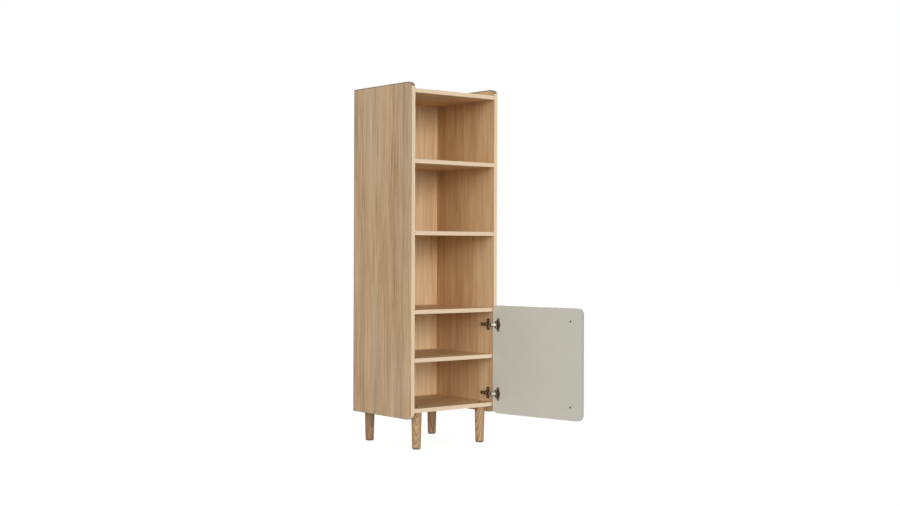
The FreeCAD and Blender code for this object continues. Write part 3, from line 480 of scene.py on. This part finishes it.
shank = add(screw_tree, "GeometryNodeMeshCylinder", {},
            {"Vertices": 16, "Radius": given["Shank Radius"], "Depth": given["Reach"]})
half_down = add(screw_tree, "ShaderNodeMath", {"operation": "MULTIPLY"}, {0: given["Reach"], 1: -0.5})
shank_middle = add(screw_tree, "ShaderNodeCombineXYZ", {},
                   {"X": 0.0, "Y": 0.0, "Z": half_down.outputs[0]})
shank = add(screw_tree, "GeometryNodeTransform", {}, {"Geometry": shank.outputs["Mesh"],
                                                      "Translation": shank_middle.outputs[0]})
screw = add(screw_tree, "GeometryNodeJoinGeometry", {}, {})
for part in (head, shank.outputs[0]):
    screw_tree.links.new(part, screw.inputs[0])
screw = add(screw_tree, "GeometryNodeGroup", {"node_tree": smooth_turning}, {"Geometry": screw.outputs[0]})
turned = add(screw_tree, "FunctionNodeAlignRotationToVector", {"axis": "Z"},
             {"Vector": given["Outward"]})
placed = add(screw_tree, "GeometryNodeInstanceOnPoints", {},
             {"Points": given["Seats"], "Instance": screw.outputs[0], "Rotation": turned.outputs[0]})
placed = add(screw_tree, "GeometryNodeRealizeInstances", {}, {"Geometry": placed.outputs[0]})
placed = add(screw_tree, "GeometryNodeSetMaterial", {}, {"Geometry": placed.outputs[0],
                                                         "Material": given["Finish"]})
add(screw_tree, "NodeGroupOutput", {}, {"Screws": placed.outputs[0]})


TIP_DEPTH = 0.05 * MM       # corners this near the tip are the end of the shank
WIDEST_SHARE = 0.95         # corners farther out than this share of the widest are the head's rim


def screws(node, body, outward, finish, hexagon_socket=False):
    """Screws with driven heads, seated where a CAD group has its plain ones and of the same size.

    The screws of one group are alike, so the last one measured gives the size of all.
    """
    outward = Vector(outward).normalized()
    shell = bmesh.new()
    shell.from_mesh(nodes[node].data)
    bmesh.ops.remove_doubles(shell, verts=shell.verts[:], dist=SAME_CORNER)
    seats = []
    seen = set()
    for start in shell.verts:
        if start in seen:
            continue
        island = [start]
        seen.add(start)
        for corner in island:
            for edge in corner.link_edges:
                other = edge.other_vert(corner)
                if other not in seen:
                    seen.add(other)
                    island.append(other)
        middle = sum((corner.co for corner in island), Vector()) / len(island)
        levels = [(corner.co - middle).dot(outward) for corner in island]
        radii = [(corner.co - middle - level * outward).length for corner, level in zip(island, levels)]
        tip, top = min(levels), max(levels)
        head_radius = max(radii)
        shank_radius = max(radius for radius, level in zip(radii, levels) if level < tip + TIP_DEPTH)
        base = min(level for radius, level in zip(radii, levels) if radius > WIDEST_SHARE * head_radius)
        seats.append(middle + base * outward)
    shell.free()
    sizes = {"Head Radius": head_radius, "Head Height": top - base, "Shank Radius": shank_radius,
             "Reach": base - tip, "Outward": outward, "Hexagon Socket": hexagon_socket, "Finish": finish}
    mesh = bpy.data.meshes.new(node + "_driven")
    mesh.from_pydata(seats, [], [])
    piece = bpy.data.objects.new(node + "_driven", mesh)
    bpy.context.scene.collection.objects.link(piece)
    placing = piece.modifiers.new("screws_on_seats", "NODES")
    placing.node_group = screw_tree
    for label, value in sizes.items():
        placing[screw_keys[label]] = value
    graph = bpy.context.evaluated_depsgraph_get()
    made = bpy.data.meshes.new_from_object(piece.evaluated_get(graph), depsgraph=graph)
    piece.modifiers.clear()
    piece.data = made
    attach(piece, body)
    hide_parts(node)


black_oxide = metal_finish("black_oxide_steel", colour("3E3831"), roughness=0.5, grain_width=0.8)
screws("leg_bolts", "carcass", (0, 0, 1), black_oxide, hexagon_socket=True)


# Door: a 16 mm board with round corners, sprayed all over with a pale grey-green satin paint.
# Its edges are painted a shade deeper: painted shade, for the light falling off over the rounded edges.

def sprayed_paint_finish(name, tone, door_edge_shade, door_normal):
    """Sprayed satin paint: faint orange peel and a slow drift in tone, with painted shade on the edges."""
    material, tree, surface, place = new_finish(name)
    drift = add(tree, "ShaderNodeTexNoise", {}, {"Vector": place, "Scale": 1 / (180 * MM), "Detail": 2.0})
    shade = add(tree, "ShaderNodeValToRGB", {}, {"Fac": drift.outputs["Fac"]},
                [(0.3, deeper(tone, 0.95)), (0.7, tone)])
    # Painted shade: faces turned away from the door's face take the deeper edge tone
    normal = add(tree, "ShaderNodeNewGeometry", {}, {}).outputs["True Normal"]
    across = add(tree, "ShaderNodeVectorMath", {"operation": "DOT_PRODUCT"}, {0: normal, 1: door_normal})
    flat = add(tree, "ShaderNodeMath", {"operation": "ABSOLUTE"}, {0: across.outputs["Value"]})
    edge = add(tree, "ShaderNodeMapRange", {},
               {"Value": flat.outputs[0], "From Min": 0.97, "From Max": 0.7})
    shade = add(tree, "ShaderNodeMix", {"data_type": "RGBA"},
                {0: edge.outputs["Result"], 6: shade.outputs["Color"], 7: door_edge_shade})
    tree.links.new(shade.outputs[2], surface.inputs["Base Color"])
    peel = add(tree, "ShaderNodeTexNoise", {}, {"Vector": place, "Scale": 1 / (3.5 * MM), "Detail": 1.0})
    relief = add(tree, "ShaderNodeBump", {}, {"Height": peel.outputs["Fac"], "Distance": 0.04 * MM,
                                              "Strength": 0.25})
    tree.links.new(relief.outputs["Normal"], surface.inputs["Normal"])
    surface.inputs["Roughness"].default_value = 0.36
    return material


DOOR_PAST_SQUARE = math.radians(10.8)       # at rest the door stands open by 100.8 degrees
DOOR_ARRIS = 0.6 * MM
door_normal = [math.cos(DOOR_PAST_SQUARE), math.sin(DOOR_PAST_SQUARE), 0.0]
door_paint = sprayed_paint_finish("satin_sprayed_paint", colour("CDCCBF"), colour("B7B6AA"), door_normal)
dress(["door_panel"], door_paint, DOOR_ARRIS)


# Pull: an upright strip of solid ash on the outer face of the door, undercut for the fingers.
# Two screws from the inside hold it, and their dark heads show near the free edge.

PULL_ARRIS = 0.4 * MM
pull_wood = solid_wood_finish("planed_ash", LEG_TONES, ring_width=5.0, pith=[-0.10, 0.75, 0.0], lean=4)
dress(["door_pull"], pull_wood, PULL_ARRIS)
inward = [-part for part in door_normal]
screws("pull_screws", "door", inward, black_oxide)


# Concealed hinges: plate, arm and cup of steel with a bronze finish, one hinge above the other.
# Nickel-plated links turn between arm and cup on plain pins, and screws with domed heads hold the
# rest. The inner link's far end meets its pin only at rest and with the door closed.

sides = ("lower", "upper")
bronze = metal_finish("bronzed_steel", colour("83705A"), roughness=0.42, grain_width=0.6)
nickel = metal_finish("nickel_plated_steel", colour("B7AFA0"), roughness=0.34, grain_width=0.5)
bronzed_names = [f"{side}_{part}" for side in sides for part in ("hinge_plate", "hinge_arm", "hinge_cup")]
plated_names = [f"{side}_{part}" for side in sides
                for part in ("arm_pins", "outer_link", "inner_link", "cup_pins")]
dress(bronzed_names, bronze)
dress(plated_names, nickel)
turn_smooth(bronzed_names + plated_names)
into_cupboard = (-1, 0, 0)
screws("plate_screws", "carcass", into_cupboard, nickel)
screws("arm_screws", "carcass", into_cupboard, nickel)
screws("cup_screws", "door", inward, nickel)


# Studio: a white floor that keeps a faint shadow, in white surroundings.
# A broad lamp stands in front, weaker ones on the left and behind, and the surroundings fill the rest.

FLOOR_SIZE = 60.0
FLOOR_DROP = 0.2 * MM       # keeps the floor and the glides apart
floor_mesh = bpy.data.meshes.new("studio_floor")
half = FLOOR_SIZE / 2
floor_mesh.from_pydata([(-half, -half, 0), (half, -half, 0), (half, half, 0), (-half, half, 0)], [],
                       [(0, 1, 2, 3)])
floor = bpy.data.objects.new("studio_floor", floor_mesh)
floor.location.z = -FLOOR_DROP
bpy.context.scene.collection.objects.link(floor)

SHADOW_SHARE = 0.3          # how much of the shadow the white floor keeps
FLOOR_LIGHT = 0.45          # about what the lamps and the surroundings give the open floor
FLOOR_WHITE = 1.01          # just over white, so that the floor and the surroundings run together


def seen_directly(tree):
    """1 for what the eye, its mirrors and its glasses see, and 0 for what lights the object."""
    path = add(tree, "ShaderNodeLightPath", {}, {}).outputs
    seen = add(tree, "ShaderNodeMath", {"operation": "MAXIMUM"},
               {0: path["Is Camera Ray"], 1: path["Is Glossy Ray"]}).outputs[0]
    return add(tree, "ShaderNodeMath", {"operation": "MAXIMUM"},
               {0: seen, 1: path["Is Transmission Ray"]}).outputs[0]


floor_finish = bpy.data.materials.new("matt_white_floor")
floor_finish.use_nodes = True
floor_tree = floor_finish.node_tree
floor_tree.nodes.clear()
pale = add(floor_tree, "ShaderNodeBsdfDiffuse", {}, {"Color": colour("E6E6E4")})
glow = add(floor_tree, "ShaderNodeEmission", {}, {"Strength": FLOOR_WHITE - FLOOR_LIGHT * SHADOW_SHARE})
dim = add(floor_tree, "ShaderNodeBsdfDiffuse", {}, {"Color": [SHADOW_SHARE] * 3 + [1.0]})
white = add(floor_tree, "ShaderNodeAddShader", {}, {0: glow.outputs[0], 1: dim.outputs[0]})
shown = add(floor_tree, "ShaderNodeMixShader", {}, {0: seen_directly(floor_tree), 1: pale.outputs[0],
                                                    2: white.outputs[0]})
add(floor_tree, "ShaderNodeOutputMaterial", {}, {"Surface": shown.outputs[0]})
floor_mesh.materials.append(floor_finish)

ROOM_LIGHT = 0.31
world = bpy.data.worlds.new("soft_studio")
world.use_nodes = True
world_tree = world.node_tree
world_tree.nodes.clear()
strength = add(world_tree, "ShaderNodeMapRange", {},
               {"Value": seen_directly(world_tree), "To Min": ROOM_LIGHT, "To Max": 1.0})
sky = add(world_tree, "ShaderNodeBackground", {},
          {"Color": [1.0] * 4, "Strength": strength.outputs["Result"]})
add(world_tree, "ShaderNodeOutputWorld", {}, {"Surface": sky.outputs[0]})
bpy.context.scene.world = world

# Strength, spread in degrees and heading of each lamp
lamps = {"front_lamp": (1.5, 24, (0.22, 1.0, -0.20)), "left_lamp": (1.0, 28, (1.0, 0.5, -0.25)),
         "rear_lamp": (0.9, 40, (-0.8, -1.0, -0.45))}
for name, (energy, spread, heading) in lamps.items():
    lamp = bpy.data.lights.new(name, "SUN")
    lamp.energy = energy
    lamp.angle = math.radians(spread)
    holder = bpy.data.objects.new(name, lamp)
    holder.rotation_euler = Vector(heading).to_track_quat("-Z", "Y").to_euler()
    bpy.context.scene.collection.objects.link(holder)


# Camera: where the photograph was taken from, at the front left, nearly level.
# Its place, its turn and its lens come from a fit to the edges of the carcass, the legs and the door.

CAMERA_PLACE = Vector((-3.562, -4.616, 0.872))
CAMERA_TURN = math.radians(39.07)
CAMERA_TILT = math.radians(-0.14)
CAMERA_ROLL = math.radians(0.21)

ahead = Vector((math.sin(CAMERA_TURN) * math.cos(CAMERA_TILT), math.cos(CAMERA_TURN) * math.cos(CAMERA_TILT),
                math.sin(CAMERA_TILT)))
level_right = Vector((math.cos(CAMERA_TURN), -math.sin(CAMERA_TURN), 0.0))
level_up = level_right.cross(ahead)
right = math.cos(CAMERA_ROLL) * level_right + math.sin(CAMERA_ROLL) * level_up
up = math.cos(CAMERA_ROLL) * level_up - math.sin(CAMERA_ROLL) * level_right

lens = bpy.data.cameras.new("camera")
lens.sensor_fit = "HORIZONTAL"
lens.sensor_width = 36.0
lens.lens = 53.36
camera = bpy.data.objects.new("camera", lens)
camera.matrix_world = Matrix.Translation(CAMERA_PLACE) @ Matrix((right, up, -ahead)).transposed().to_4x4()
bpy.context.scene.collection.objects.link(camera)
bpy.context.scene.camera = camera
bpy.context.scene.view_settings.view_transform = "Standard"
